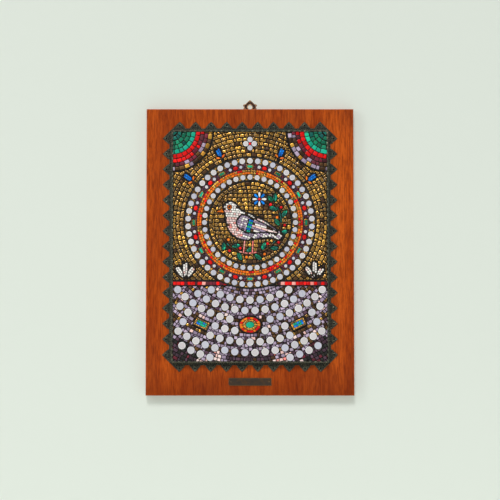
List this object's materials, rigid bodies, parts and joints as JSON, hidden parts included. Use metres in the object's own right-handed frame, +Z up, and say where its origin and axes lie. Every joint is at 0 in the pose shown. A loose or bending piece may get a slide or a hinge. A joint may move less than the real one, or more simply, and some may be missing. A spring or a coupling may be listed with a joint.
{
  "type": "mosaic panel",
  "caption": "Upright wall plaque: a hardwood board carrying a glass mosaic of a wreath, dove and pearls in a pierced metal edging, with a title plate and a hanger.",
  "frame": {"origin": "middle of the hanger's eye, on the wall plane behind the panel", "axes": "+Z up, +X to the viewer's right, the picture faces -Y and the wall is on the +Y side"},
  "size_m": [0.355, 0.0312, 0.5085],
  "materials": {
    "board_wood": "satin varnished red-brown hardwood, upright grain",
    "mosaic_tile": "glass tesserae and flat pearls in a dark mortar bed",
    "edging_metal": "stamped strip, patinated dark grey-green",
    "plate_metal": "dark bronzed brass, rubbed rim",
    "hanger_metal": "cast, brown patina",
    "nail_metal": "dull wire nail"
  },
  "bodies": {
    "root": {"backboard": "board_wood", "mosaic_bed": "mosaic_tile", "edging_top": "edging_metal", "edging_right": "edging_metal", "edging_bottom": "edging_metal", "edging_left": "edging_metal", "title_plate": "plate_metal", "hanger": "hanger_metal", "hanger_nail_left": "nail_metal", "hanger_nail_right": "nail_metal"}
  },
  "joints": []
}
